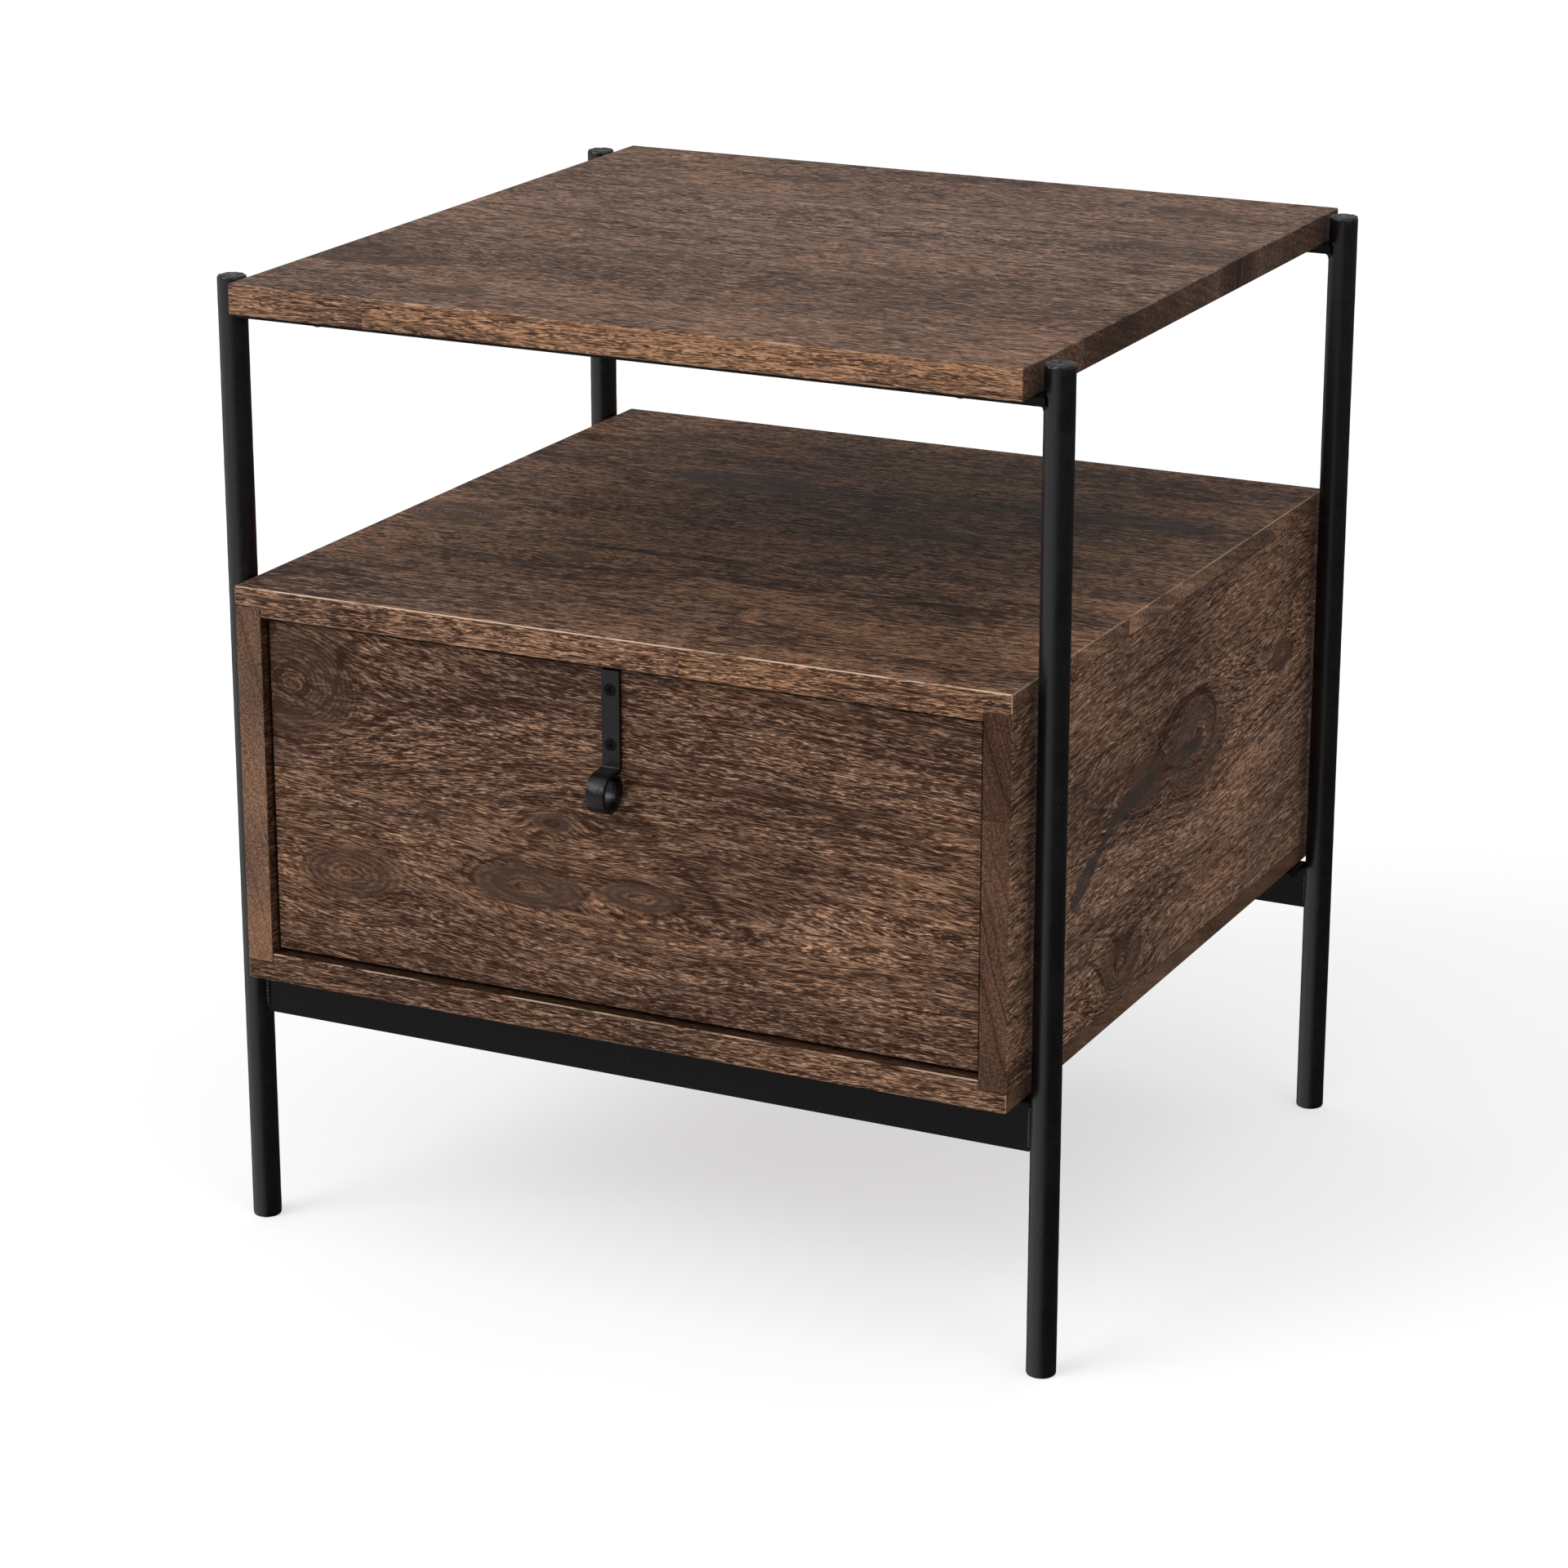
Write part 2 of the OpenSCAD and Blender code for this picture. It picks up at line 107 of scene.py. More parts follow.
# ---------------------------------------------------------------------------
# Node formulas
# ---------------------------------------------------------------------------
class Field:
    """A number that varies over a surface, so that a pattern is written as a formula."""

    def __init__(self, tree, socket):
        self.tree = tree
        self.socket = socket

    def _math(self, operation, *values):
        node = self.tree.nodes.new("ShaderNodeMath")
        node.operation = operation
        for slot, value in zip(node.inputs, (self, *values)):
            feed(self.tree, slot, value)
        return Field(self.tree, node.outputs[0])

    def __add__(self, other):
        return self._math("ADD", other)

    def __sub__(self, other):
        return self._math("SUBTRACT", other)

    def __mul__(self, other):
        return self._math("MULTIPLY", other)

    def __truediv__(self, other):
        return self._math("DIVIDE", other)

    __radd__ = __add__
    __rmul__ = __mul__

    def __rsub__(self, other):
        return self * -1.0 + other

    def absolute(self):
        return self._math("ABSOLUTE")

    def root(self):
        return self._math("SQRT")

    def sine(self):
        return self._math("SINE")

    def above(self, level):
        """1 where this is more than level, and 0 elsewhere."""
        return self._math("GREATER_THAN", level)

    def below(self, level):
        """1 where this is less than level, and 0 elsewhere."""
        return self._math("LESS_THAN", level)

    def at_least(self, other):
        return self._math("MAXIMUM", other)

    def at_most(self, other):
        return self._math("MINIMUM", other)

    def step(self, start, end, low=0.0, high=1.0):
        """low up to start, high from end, and smooth between them."""
        node = self.tree.nodes.new("ShaderNodeMapRange")
        node.interpolation_type = "SMOOTHSTEP"
        for slot, value in zip(node.inputs, (self, start, end, low, high)):
            feed(self.tree, slot, value)
        return Field(self.tree, node.outputs[0])

    def blend(self, zero, one):
        """zero where this is 0, and one where it is 1, for numbers."""
        return (one - zero) * self + zero

    def colour(self, zero, one):
        """The same for colours."""
        node = self.tree.nodes.new("ShaderNodeMix")
        node.data_type = "RGBA"
        feed(self.tree, node.inputs[0], self)
        feed(self.tree, node.inputs[6], zero)
        feed(self.tree, node.inputs[7], one)
        return Field(self.tree, node.outputs[2])


def feed(tree, slot, value):
    """Links a field to a socket, or sets the socket to a number or a colour."""
    if isinstance(value, Field):
        tree.links.new(value.socket, slot)
    elif isinstance(value, (int, float)):
        slot.default_value = value
    else:
        slot.default_value = (*value, 1.0)


class Pattern:
    """A new material's node tree, with the patterns that the finishes share."""

    def __init__(self, name):
        self.material = bpy.data.materials.new(name)
        self.material.use_nodes = True
        self.tree = self.material.node_tree
        self.shader = self.tree.nodes["Principled BSDF"]
        self.coordinates = self.tree.nodes.new("ShaderNodeTexCoord")

    def axes(self, output="Object"):
        """The three object coordinates, in metres, or the normal's three parts."""
        split = self.tree.nodes.new("ShaderNodeSeparateXYZ")
        self.tree.links.new(self.coordinates.outputs[output], split.inputs[0])
        return [Field(self.tree, socket) for socket in split.outputs]

    def point(self, x, y, z):
        """A vector from three fields or numbers."""
        node = self.tree.nodes.new("ShaderNodeCombineXYZ")
        for slot, value in zip(node.inputs, (x, y, z)):
            feed(self.tree, slot, value)
        return Field(self.tree, node.outputs[0])

    def chance(self, number):
        """A value from 0 to 1 that looks random, but is the same for the same number."""
        node = self.tree.nodes.new("ShaderNodeTexWhiteNoise")
        node.noise_dimensions = "1D"
        feed(self.tree, node.inputs["W"], number)
        return Field(self.tree, node.outputs["Value"])

    def noise(self, point, scale=1.0, detail=2.0, roughness=0.5):
        """Smooth noise from 0 to 1, around 0.5."""
        node = self.tree.nodes.new("ShaderNodeTexNoise")
        node.inputs["Scale"].default_value = scale
        node.inputs["Detail"].default_value = detail
        node.inputs["Roughness"].default_value = roughness
        self.tree.links.new(point.socket, node.inputs["Vector"])
        return Field(self.tree, node.outputs["Fac"])

    def cells(self, point):
        """Distance to the nearest of scattered points, about one in each unit cube."""
        node = self.tree.nodes.new("ShaderNodeTexVoronoi")
        node.inputs["Scale"].default_value = 1.0
        self.tree.links.new(point.socket, node.inputs["Vector"])
        return Field(self.tree, node.outputs["Distance"])

    def brighten(self, colour, value):
        """The colour, with its brightness multiplied by value."""
        node = self.tree.nodes.new("ShaderNodeHueSaturation")
        node.inputs["Value"].default_value = value
        feed(self.tree, node.inputs["Color"], colour)
        return Field(self.tree, node.outputs[0])

    def finish(self, colour, roughness, specular):
        """Feeds the shader. specular is the same all over."""
        feed(self.tree, self.shader.inputs["Base Color"], colour)
        feed(self.tree, self.shader.inputs["Roughness"], roughness)
        self.shader.inputs["Specular IOR Level"].default_value = specular
        return self.material

    def emboss(self, height, depth, strength):
        """Raises the surface by up to depth where height is 1."""
        bump = self.tree.nodes.new("ShaderNodeBump")
        bump.inputs["Strength"].default_value = strength
        bump.inputs["Distance"].default_value = depth
        feed(self.tree, bump.inputs["Height"], height)
        self.tree.links.new(bump.outputs["Normal"], self.shader.inputs["Normal"])


# ---------------------------------------------------------------------------
# Boards and their wood
# ---------------------------------------------------------------------------
# Colours of the pores, the grey fibres and the red fibres: stained, and plain inside the case.
STAINED = ((0.026, 0.0088, 0.0038), (0.430, 0.270, 0.195), (0.480, 0.255, 0.140))
PLAIN = ((0.17, 0.090, 0.048), (0.66, 0.465, 0.30), (0.72, 0.465, 0.28))
PORE_DARK = STAINED[0]
HEARTWOOD = (0.062, 0.036, 0.026)
BARK_GREY = (0.040, 0.030, 0.027)
# Pale colour of the arrises where the stain has rubbed through, partly a painted highlight along
# the upper ones.
WORN_AND_HIGHLIT_EDGE = (0.66, 0.50, 0.37)

# Noises of the wood, in lumps per metre along the grain and across it.
WAVE = (2.6, 8.0)
RIPPLE = (16.0, 50.0)
BEND = (1.9, 11.0)
THREAD = (210.0, 1150.0)
VEIN = (85.0, 560.0)
CLUMP = (60.0, 420.0)
CURL = (120.0, 90.0)
BLOTCH = (7.0, 18.0)
# The same for the pores.
SHORT_PORES = (220.0, 1500.0)
LONG_PORES = (120.0, 1150.0)
# Broad rings and knot speckle, per metre.
BROAD_RINGS = 80.0
SPECKLE = 900.0
# Fibres start at their own places, within this length, in strands of this many per metre.
JOG = 0.09
STRANDS = 380.0
# Swing of the fibres in long waves and in ripples.
SWAY = 16 * MM
RIPPLING = 4.5 * MM
# How far the growth rings lean through the board, per depth.
RING_LEAN = 3.2
# Each stave is cut from its own place, up to this far away along, across and through.
STAVE_SHIFTS = (1.9, 2.3, 1.1)
# Rings inside a knot, one from the next.
RING_SPACING = 2.6 * MM
# How far knots draw the fibres towards themselves, and how fast that fades with distance.
KNOT_PULL = 0.72
KNOT_PULL_FADE = 0.3
# How high the growth rings rise at a knot, in its half widths, and how fast that fades.
KNOT_RISE = 2.0
KNOT_RISE_FADE = 0.7
# How far a knot's outline strays along and across.
KNOT_STRAY = (6.0 * MM, 2.5 * MM)
# Where a knot's smooth wood, its dark shell, the pale ring in that and its pith start and are
# full, in the knot's radii from its middle.
KNOT_SMOOTH = (1.6, 0.8)
KNOT_SHELL = (1.15, 0.75)
KNOT_PALE = (0.55, 0.30)
KNOT_PITH = (0.14, 0.06)
# The same for a bark streak, in its half widths, and how ragged ripples and waves make it.
STREAK_EDGE = (1.15, 0.75)
STREAK_RAGGED = (1.4, 0.6)
# Where glue lines and the pale arrises, rubbed stain with a painted highlight, start and are
# full, by distance, and where an arris is near enough to a board's end to get less of both.
GLUE_LINE = (0.5 * MM, 0.1 * MM)
PALE_ARRIS_BAND = (1.0 * MM, 0.3 * MM)
PALE_ARRIS_LESS = (1.2 * MM, 0.6 * MM)
# Patches of wear, in lumps per metre.
WEAR = 34.0

# The wood's lightness, and how much each pattern changes it.
MIDDLE_LIGHT = 0.53
THREAD_WEIGHT = 0.58
VEIN_WEIGHT = 0.40
FINE_RING_WEIGHT = 0.35
RING_LINE_WEIGHT = 0.22
BROAD_RING_WEIGHT = 0.80
CURL_WEIGHT = 0.15
BLOTCH_WEIGHT = 0.72
STAVE_WEIGHT = 0.16
KNOT_RING_WEIGHT = 0.10
KNOT_SPECKLE_WEIGHT = 0.6
KNOT_DARKENING = 0.17
# The same for fibres that are cut across.
END_THREAD_WEIGHT = 0.22
END_VEIN_WEIGHT = 0.18
# How strongly dark marks, and the painted shade inside the case, cover the wood, from 0 to 1.
PORE_COVER = 0.88
HEART_COVER = 0.9
BARK_COVER = 0.8
GLUE_COVER = 0.4
INSIDE_SHADE_COVER = 0.72


@dataclass
class Look:
    """What sets one board's wood apart from another's."""

    # Which wood the board's first stave is cut from. Each next stave counts one up.
    seed: float
    # Steady slope of the fibres across the board, per length.
    slope: float = 0.0
    # How far the growth rings swing across the fibres, in metres.
    figure: float = 16 * MM
    # Fine growth rings per metre, and how dark they are.
    rings: float = 400.0
    lined: float = 0.5
    # Amount of open pores.
    pored: float = 1.0
    # Colours of pores and fibres, how red the fibres are, and brightness of the whole.
    palette: tuple = STAINED
    red: float = 0.5
    shade: float = 1.0
    # Contrast of the fine grain, and of the broad bands.
    contrast: float = 1.0
    bold: float = 1.0
    # How much paler the long edges are, and how much darker the ends.
    rim: float = 0.0
    drink: float = 0.08
    # Rubbed stain and painted highlight on the arrises, and the noise from which it starts and at
    # which it is full.
    wear_and_highlight: float = 0.5
    rubbing: tuple = (0.46, 0.66)
    # Shine of the finish.
    haze: float = 0.09
    # Which face lies inside the case and gets painted shade there: -1 or 1 through the board, or
    # 0 for none.
    inner: int = 0


class Board:
    """Coordinates of a wooden part: along its grain, across its face, and through it.
    joints are the shares across at which its staves are glued. butts are the places where a
    stave is two lengths: shares along and across, and what the second length adds to the seed."""

    def __init__(self, node, along, across, joints=(), butts=()):
        self.node = node
        self.low, self.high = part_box(node)
        self.along = along
        self.across = across
        self.through = 3 - along - across
        self.size = self.high - self.low
        self.joints = sorted(joints)
        self.butts = butts

    def place(self, share_along, share_across):
        """A point of the face from its shares along and across, from 0 to 1."""
        return (
            self.low[self.along] + self.size[self.along] * share_along,
            self.low[self.across] + self.size[self.across] * share_across,
        )

    def stave(self, share):
        """The shares across where the stave that holds this share starts and ends."""
        below = [joint for joint in self.joints if joint < share]
        above = [joint for joint in self.joints if joint >= share]
        return (below[-1] if below else -1.0), (above[0] if above else 2.0)

    def in_stave(self, v, share):
        """1 in the stave that holds this share across, and 0 in the others."""
        start, end = self.stave(share)
        return v.above(self.place(0.0, start)[1]) * v.below(self.place(0.0, end)[1])


class Knot:
    """An eye in the grain, at shares of the face and of that half length and half width,
    in millimetres. dark stains its heart, and calm smooths the wood round it."""

    def __init__(self, along, across, length, width, dark=0.6, calm=1.0):
        self.along = along
        self.across = across
        self.length = length * MM
        self.width = width * MM
        self.dark = dark
        self.calm = calm


class KnotWork:
    """What all the knots of a board do to the wood round them."""

    def __init__(self, zero):
        # 1 in the knots' smooth wood, and 1 in their stained hearts.
        self.smooth = zero
        self.heart = zero
        # The knots' own rings, from -1 to 1.
        self.circles = zero
        # How much the board's growth rings rise round the knots, in metres.
        self.rise = zero
        # The knots' reach, all together and at its strongest, and their pulls weighed by it.
        # The first is never quite none, because it divides the pulls.
        self.halos = zero + 0.001
        self.strongest = zero
        self.pulls = zero

    def add(self, board, knot, u, v, ripple):
        """Adds one knot. It reaches no further than the stave that it grew in."""
        at_u, at_v = board.place(knot.along, knot.across)
        inside = board.in_stave(v, knot.across)
        stray_u, stray_v = KNOT_STRAY
        du = u - at_u + (ripple - 0.5) * stray_u
        dv = v - at_v + (ripple - 0.5) * stray_v
        reach = (du * du) / knot.length ** 2 + (dv * dv) / knot.width ** 2
        radius = reach.root()

        halo = inside / (reach * KNOT_PULL_FADE + 1.0)
        self.halos = self.halos + halo
        self.pulls = self.pulls + halo * dv
        self.strongest = self.strongest.at_least(halo)
        rise = inside / (reach * KNOT_RISE_FADE + 1.0) * (KNOT_RISE * knot.width)
        self.rise = self.rise + rise

        smooth = radius.step(*KNOT_SMOOTH) * inside * knot.calm
        self.smooth = self.smooth.at_least(smooth)
        shell = radius.step(*KNOT_SHELL) * (1.0 - radius.step(*KNOT_PALE) * 0.75)
        pith = radius.step(*KNOT_PITH)
        self.heart = self.heart.at_least(shell.at_least(pith) * inside * knot.dark)
        turns = knot.width / RING_SPACING * math.tau
        self.circles = self.circles + (radius * turns).sine() * smooth

    def pull(self):
        """How far aside the fibre at each place has been drawn, in metres."""
        return self.pulls / self.halos * self.strongest * KNOT_PULL


class Timber:
    """The patterns in a board, solid all through it. u runs along the grain, v across the
    face and w through the board. The plain names are places in the tree the stave came from."""

    def __init__(self, pattern, board, look, knots):
        self.p = pattern
        self.board = board
        self.look = look
        self.xyz = pattern.axes()
        self.board_u = self.xyz[board.along]
        self.board_v = self.xyz[board.across]
        self.board_w = self.xyz[board.through]
        self.zero = self.board_u * 0.0
        self.normal = pattern.axes("Normal")
        # 1 on the ends, where the fibres are cut across, and 1 on the long edges.
        self.end = self.normal[board.along].absolute().step(0.55, 0.9)
        self.edge = self.normal[board.across].absolute().step(0.7, 0.95)
        self.glue_staves()
        self.bend_fibres(knots)
        self.grow_rings()
        self.spin_fibres()
        self.open_pores()

    def stretched(self, u, v, lumps, detail=2.0, roughness=0.5):
        """Noise that is longer along the grain than across it."""
        along, across = lumps
        where = self.p.point(u * along, v * across, self.w * across)
        return self.p.noise(where, detail=detail, roughness=roughness)

    def glue_staves(self):
        """Staves glued edge to edge, some of two lengths, each cut from another place."""
        board = self.board
        number = self.zero + self.look.seed
        self.seam = self.zero + 1.0
        for joint in board.joints:
            level = board.place(0.0, joint)[1]
            number = number + self.board_v.above(level)
            self.seam = self.seam.at_most((self.board_v - level).absolute())
        for share_along, share_across, shift in board.butts:
            level = board.place(share_along, 0.0)[0]
            inside = board.in_stave(self.board_v, share_across)
            number = number + inside * self.board_u.above(level) * shift
            self.seam = self.seam.at_most((self.board_u - level).absolute() - inside + 1.0)
        self.tone = self.p.chance(number)
        self.warmth = self.p.chance(number + 50.0)
        along, across, through = STAVE_SHIFTS
        self.u = self.board_u + self.tone * along
        self.v = self.board_v + self.tone * across
        self.w = self.board_w + self.tone * through

    def bend_fibres(self, knots):
        """Long waves and ripples, a steady slope, and the fibres' way round the knots."""
        board = self.board
        self.wave = self.stretched(self.u, self.v, WAVE, detail=1.0)
        self.ripple = self.stretched(self.u, self.v, RIPPLE)
        middle = (board.low[board.along] + board.high[board.along]) / 2
        sloping = (self.board_u - middle) * self.look.slope
        drift = sloping + (self.wave - 0.5) * SWAY + (self.ripple - 0.5) * RIPPLING
        self.knots = KnotWork(self.zero)
        for knot in knots:
            self.knots.add(board, knot, self.board_u, self.board_v, self.ripple)
        self.fibre = self.v + drift - self.knots.pull()

    def grow_rings(self):
        """Growth rings, as uneven bands across the fibres that close round the knots."""
        bend = self.stretched(self.u, self.v, BEND, detail=1.5)
        rise = self.knots.rise + (self.wave - 0.5) * self.look.figure
        lean = self.w * RING_LEAN + (bend - 0.5) * (2.0 * self.look.figure)
        ring = self.fibre + rise + lean
        where = self.p.point(ring * BROAD_RINGS, self.tone * 9.0, self.u * 0.8)
        self.broad = self.p.noise(where, detail=1.5)
        where = self.p.point(ring * self.look.rings, self.tone * 5.0, self.u * 2.4)
        self.fine = self.p.noise(where, detail=1.0)

    def spin_fibres(self):
        """Threads and veins of the grain, each starting at its own place."""
        where = self.p.point(self.tone, self.fibre * STRANDS, self.w * STRANDS)
        run = self.u + (self.p.noise(where, detail=1.0) - 0.5) * JOG
        self.thread = self.stretched(run, self.fibre, THREAD, detail=1.0).step(0.38, 0.62)
        self.vein = self.stretched(run, self.fibre, VEIN, roughness=0.55).step(0.38, 0.62)
        self.clump = self.stretched(run, self.fibre, CLUMP)
        self.curl = self.stretched(run, self.fibre, CURL, detail=1.0)
        self.blotch = self.stretched(self.u, self.v, BLOTCH)

    def open_pores(self):
        """Long and short pores, in clumps, few in knots and at the ends."""
        along, across = SHORT_PORES
        where = self.p.point(self.u * along, self.fibre * across, self.w * across)
        short = self.p.cells(where).step(0.50, 0.42)
        along, across = LONG_PORES
        where = self.p.point(self.u * along + 3.0, self.fibre * across, self.w * across)
        long = self.p.cells(where).step(0.46, 0.39)
        crowd = self.clump.step(0.36, 0.58, 0.35, 1.0) * self.broad.step(0.36, 0.62, 0.45, 1.0)
        clear = (1.0 - self.knots.smooth * 0.75) * (1.0 - self.end * 0.85)
        self.pores = short.at_least(long) * crowd * clear * self.look.pored

    def light(self):
        """Lightness of the wood between its pores."""
        look = self.look
        smooth = self.knots.smooth
        calm = 1.0 - smooth * 0.6
        grain = (self.thread - 0.5) * self.end.blend(THREAD_WEIGHT, END_THREAD_WEIGHT)
        grain = grain + (self.vein - 0.5) * self.end.blend(VEIN_WEIGHT, END_VEIN_WEIGHT)
        grain = grain + (self.fine - 0.5) * (FINE_RING_WEIGHT * look.lined)
        bands = (self.broad - 0.5) * BROAD_RING_WEIGHT + (self.blotch - 0.5) * BLOTCH_WEIGHT
        bands = bands + (self.curl - 0.5) * CURL_WEIGHT
        bands = bands * (1.0 - self.end * 0.6)
        light = MIDDLE_LIGHT + (self.tone - 0.5) * STAVE_WEIGHT
        light = light + grain * calm * self.edge.blend(look.contrast, 1.0)
        light = light + bands * calm * self.edge.blend(look.bold, 1.0)
        light = light - self.fine.step(0.56, 0.66) * (RING_LINE_WEIGHT * look.lined)
        light = light + self.edge * look.rim - self.end * look.drink
        speckle = self.p.noise(self.p.point(*self.xyz), SPECKLE, detail=1.0)
        light = light + self.knots.circles * KNOT_RING_WEIGHT - smooth * KNOT_DARKENING
        light = light + (speckle - 0.5) * smooth * KNOT_SPECKLE_WEIGHT
        return light.at_least(0.04).at_most(1.2)

    def colour(self):
        """Colour of the pores and of the fibres between them, grey or red by patches."""
        look = self.look
        warm = self.blotch.step(0.30, 0.70) * 0.5 + self.warmth * 0.5 + (look.red - 0.5)
        warm = (warm + self.edge * (4.0 * look.rim)).at_least(0.0).at_most(1.0)
        pore_dark, fibre_grey, fibre_red = look.palette
        light = self.light()
        colour = (light * light).colour(pore_dark, warm.colour(fibre_grey, fibre_red))
        colour = (self.pores * PORE_COVER).colour(colour, pore_dark)
        return (self.knots.heart * HEART_COVER).colour(colour, HEARTWOOD)

    def streak(self, first, last, width):
        """1 in a dark bark streak from one place to another, tapering to both ends."""
        a = self.board.place(*first)
        b = self.board.place(*last)
        length = math.hypot(b[0] - a[0], b[1] - a[1])
        way_u = (b[0] - a[0]) / length
        way_v = (b[1] - a[1]) / length
        du = self.board_u - a[0]
        dv = self.board_v - a[1]
        along = (du * way_u + dv * way_v) / length
        aside = dv * way_u - du * way_v
        beyond = ((along - 0.5).absolute() - 0.5).at_least(0.0) * (length / width)
        room = (aside * aside / width ** 2 + beyond * beyond).root()
        by_ripple, by_wave = STREAK_RAGGED
        room = room + (self.ripple - 0.5) * by_ripple + (self.wave - 0.5) * by_wave
        return room.step(*STREAK_EDGE)

    def worn_and_highlit_arrises(self):
        """1 on the upper arrises: rubbed stain and painted highlight, less at the board's ends.
        """
        gaps = []
        for axis in range(3):
            half = self.board.size[axis] / 2
            centre = self.board.low[axis] + half
            gaps.append(half - (self.xyz[axis] - centre).absolute())
        pairs = [gaps[0].at_most(gaps[1]), gaps[1].at_most(gaps[2]), gaps[0].at_most(gaps[2])]
        nearest = pairs[0].at_most(gaps[2])
        second = pairs[0] + pairs[1] + pairs[2] - nearest * 2.0
        rub = self.p.noise(self.p.point(*self.xyz), WEAR, detail=4.0, roughness=0.6)
        # Painted highlight: only arrises that face up are paled, where the light falls on them.
        lit_upward = self.normal[2].step(-0.4, 0.1)
        at_end = gaps[self.board.along].step(*PALE_ARRIS_LESS)
        arris = second.step(*PALE_ARRIS_BAND) * lit_upward * (1.0 - at_end * 0.6)
        return arris * rub.step(*self.look.rubbing)


def wood(board, look, knots=(), streaks=()):
    """Open-pored hardwood with a matt finish."""
    p = Pattern(board.node + "_wood")
    timber = Timber(p, board, look, knots)
    colour = timber.colour()
    for first, last, width in streaks:
        mark = timber.streak(first, last, width * MM)
        colour = (mark * BARK_COVER).colour(colour, BARK_GREY)
    glue = timber.seam.step(*GLUE_LINE)
    colour = (glue * GLUE_COVER).colour(colour, PORE_DARK)
    # Painted shade: faces inside the case are darkened towards the pore colour, where shade
    # falls.
    if look.inner:
        painted_inside_shade = (timber.normal[board.through] * look.inner).step(0.5, 0.9)
        colour = (painted_inside_shade * INSIDE_SHADE_COVER).colour(colour, PORE_DARK)
    # Rubbed stain and painted highlight on the arrises.
    colour = (timber.worn_and_highlit_arrises() * look.wear_and_highlight).colour(colour, WORN_AND_HIGHLIT_EDGE)
    colour = p.brighten(colour, look.shade)

    thread = timber.thread - 0.5
    height = 0.62 + thread * 0.16 - timber.pores * 0.55 + (timber.ripple - 0.5) * 0.2
    p.emboss(height, depth=0.4 * MM, strength=0.8)
    roughness = 0.52 + timber.pores * 0.22 + thread * 0.08
    return p.finish(colour, roughness, look.haze)


# ---------------------------------------------------------------------------
# Metal
# ---------------------------------------------------------------------------
IRON_BLACK = (0.0016, 0.0014, 0.0015)
PULL_BLACK = (0.0022, 0.0021, 0.0023)
SCREW_BLACK = (0.0008, 0.0007, 0.0008)
RUB_SPECK = (0.16, 0.15, 0.145)
ZINC_DARK = (0.50, 0.51, 0.53)
ZINC_PALE = (0.66, 0.66, 0.65)


def black_iron(name, base=IRON_BLACK, gloss=0.33, shine=0.45, dents=1.0, scale=1.0):
    """Iron with a baked black finish: fine grain, soft hammer marks and pale rub specks.
    gloss is the middle roughness, shine the strength of reflections, and scale makes the
    grain and the marks finer."""
    p = Pattern(name)
    where = p.point(*p.axes())
    grain = p.noise(where, 1600.0 * scale, detail=2.0, roughness=0.6)
    mottle = p.noise(where, 160.0 * scale, detail=3.0, roughness=0.55)
    broad = p.noise(where, 38.0, detail=2.0)
    specks = p.noise(where, 900.0 * scale, detail=1.0).step(0.71, 0.78) * mottle.step(0.45, 0.7)
    colour = broad.step(0.3, 0.7).colour(base, tuple(1.45 * part for part in base))
    colour = (specks * 0.35).colour(colour, RUB_SPECK)
    height = 0.5 + (grain - 0.5) * 0.22 + (mottle - 0.5) * 0.8 * dents
    p.emboss(height, depth=0.16 * MM, strength=0.7)
    roughness = gloss + (mottle - 0.5) * 0.22 + (broad - 0.5) * 0.12 + specks * 0.1
    return p.finish(colour, roughness, shine)


def zinc(name):
    """Bright zinc plate with a faint spangle and drawn lines."""
    p = Pattern(name)
    x, y, z = p.axes()
    spangle = p.noise(p.point(x, y, z), 120.0, detail=3.0)
    drawn = p.noise(p.point(x * 900.0, y * 8.0, z * 900.0), detail=2.0)
    colour = spangle.step(0.3, 0.7).colour(ZINC_DARK, ZINC_PALE)
    p.emboss(drawn, depth=0.05 * MM, strength=0.5)
    p.shader.inputs["Metallic"].default_value = 1.0
    roughness = 0.27 + (drawn - 0.5) * 0.22 + (spangle - 0.5) * 0.12
    return p.finish(colour, roughness, 0.5)


# ---------------------------------------------------------------------------
# Bars and welds
# ---------------------------------------------------------------------------
LEGS = ("leg_front_left", "leg_front_right", "leg_rear_left", "leg_rear_right")
LEG_SIDES = 72
LEG_RING_PITCH = 5 * MM
# Depth of the dents along a leg, and how large they are, in two sizes.
LEG_DENT = 0.22 * MM
LEG_DENT_SIZES = (9 * MM, 3 * MM)
# Depth of the saw and hammer marks on a leg's top end, downward and inward, and on its foot.
TOP_DENT = 0.9 * MM
TOP_NOTCH = 0.35 * MM
TOP_MARK_SIZES = (2.6 * MM, 1.1 * MM)
FOOT_DENT = 0.25 * MM
FOOT_MARK_SIZE = 3 * MM
# The marks fade out within this length.
END_ZONE = 3 * MM
# The rounding of a leg's end: share of the radius, and distance from the end. The innermost
# ring is this small a share instead of none.
CENTRE_SHARE = 0.02
END_ROUNDING = (
    (0.00, 0.0),
    (0.22, 0.0),
    (0.44, 0.0),
    (0.64, 0.0),
    (0.80, 0.0),
    (0.90, 0.10 * MM),
    (0.96, 0.45 * MM),
    (0.99, 1.00 * MM),
    (1.00, 1.80 * MM),
    (1.00, 3.00 * MM),
    (1.00, 5.00 * MM),
)
# The weld under a top bar: its size, how far round the leg it goes each way, and its detail.
FILLET = 4.6 * MM
FILLET_REACH = math.radians(66)
FILLET_STEPS = 30
FILLET_CURVE = 7
# How much it thins on its way round, and its least size.
FILLET_THINNING = 0.35
FILLET_LEAST = 0.02 * MM
